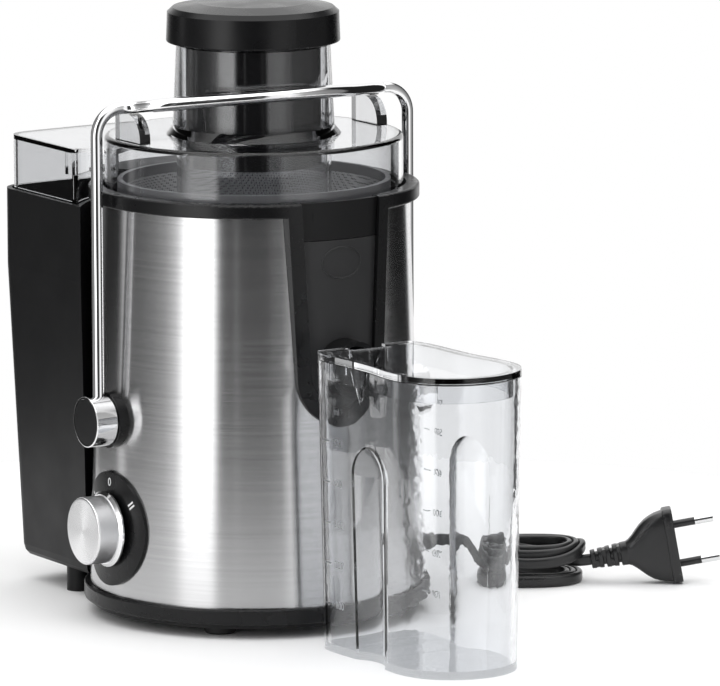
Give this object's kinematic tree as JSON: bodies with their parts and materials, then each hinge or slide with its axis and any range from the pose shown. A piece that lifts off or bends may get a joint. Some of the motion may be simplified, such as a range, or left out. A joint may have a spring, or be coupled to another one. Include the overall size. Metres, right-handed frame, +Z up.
{
  "type": "centrifugal juicer",
  "caption": "Upright centrifugal juicer with a steel-clad body, clear lid and feed tube, locking bail, pulp container, juice jug and mains lead.",
  "frame": {"origin": "on the floor, under the axis of the round body", "axes": "+Z up along the body's axis; +X towards the spout and the jug; -Y towards the speed knob"},
  "size_m": [0.3275, 0.3048, 0.281],
  "materials": {
    "black_plastic": "fine moulded texture",
    "black_satin": "satin",
    "black_gloss": "polished",
    "steel": "brushed round the casing",
    "chrome": "polished",
    "knob_metal": "turned face",
    "clear_plastic": "clear, faintly smoky",
    "rubber": "matte",
    "filter_steel": "fine mesh",
    "motor_steel": "bare laminations",
    "copper": "enamelled wire",
    "bronze": "sintered",
    "grey_plastic": "plain",
    "white_plastic": "plain",
    "carbon": "carbon",
    "lead_rubber": "smooth sheath"
  },
  "bodies": {
    "machine": {"base_plate": "black_plastic", "base_ring": "black_satin", "feet": "rubber", "base_screws": "motor_steel", "steel_skin": "steel", "inner_housing": "grey_plastic", "top_rim": "black_satin", "spout_panel": "black_plastic", "juice_bowl": "black_plastic", "pulp_chute": "black_plastic", "shaft_seal": "rubber", "lid_seal": "rubber", "lid": "clear_plastic", "lid_lugs": "clear_plastic", "lid_hood": "clear_plastic", "pivot_bosses": "black_satin", "interlock_switch": "grey_plastic", "dial_plate": "black_satin", "switch_body": "grey_plastic", "motor_stator": "motor_steel", "stator_windings": "copper", "lower_bracket": "motor_steel", "upper_bracket": "motor_steel", "lower_bearing": "bronze", "upper_bearing": "bronze", "motor_bolts": "motor_steel", "motor_dampers": "rubber", "brush_holders": "bronze", "brushes": "carbon", "brush_springs": "motor_steel", "strain_relief": "lead_rubber", "terminal_block": "white_plastic", "mains_lead": "lead_rubber", "lead_hank": "lead_rubber", "plug_body": "lead_rubber", "pin_sleeves": "lead_rubber", "plug_pins": "chrome"},
    "drive": {"motor_shaft": "motor_steel", "rotor_core": "motor_steel", "rotor_windings": "copper", "commutator": "copper", "cooling_fan": "white_plastic", "drive_coupling": "grey_plastic", "filter_basket": "grey_plastic", "filter_mesh": "filter_steel", "grater_disc": "filter_steel"},
    "bail": {"bail_wire": "chrome", "bail_grip": "chrome", "pivot_buttons": "chrome", "button_inserts": "black_gloss", "pivot_pins": "motor_steel"},
    "pusher": {"pusher_body": "black_gloss", "pusher_cap": "black_satin"},
    "speed_knob": {"knob_cap": "knob_metal", "knob_flange": "chrome", "switch_spindle": "motor_steel"},
    "pulp_bin": {"pulp_container": "black_plastic", "container_feet": "black_plastic"},
    "juice_jug": {"jug": "clear_plastic"},
    "jug_cover": {"jug_lid": "clear_plastic"}
  },
  "joints": [
    {"name": "drive_spin", "type": "hinge", "parent": "machine", "child": "drive", "pos_m": [0, 0, 0], "axis": [0, 0, 1], "continuous": true},
    {"name": "bail_swing", "type": "hinge", "parent": "machine", "child": "bail", "pos_m": [0, 0, 0.094], "axis": [0, 1, 0], "range_deg": [0, 55]},
    {"name": "pusher_lift", "type": "slide", "parent": "machine", "child": "pusher", "axis": [0, 0, 1], "range_m": [0, 0.1]},
    {"name": "knob_turn", "type": "hinge", "parent": "machine", "child": "speed_knob", "pos_m": [0, 0, 0.044], "axis": [0, 1, 0], "range_deg": [-53, 53]},
    {"name": "bin_slide", "type": "slide", "parent": "machine", "child": "pulp_bin", "axis": [-1, 0, 0], "range_m": [0, 0.12]},
    {"name": "jug_slide", "type": "slide", "parent": "machine", "child": "juice_jug", "axis": [1, 0, 0], "range_m": [0, 0.1]},
    {"name": "jug_lid_lift", "type": "slide", "parent": "juice_jug", "child": "jug_cover", "axis": [0, 0, 1], "range_m": [0, 0.05]}
  ]
}
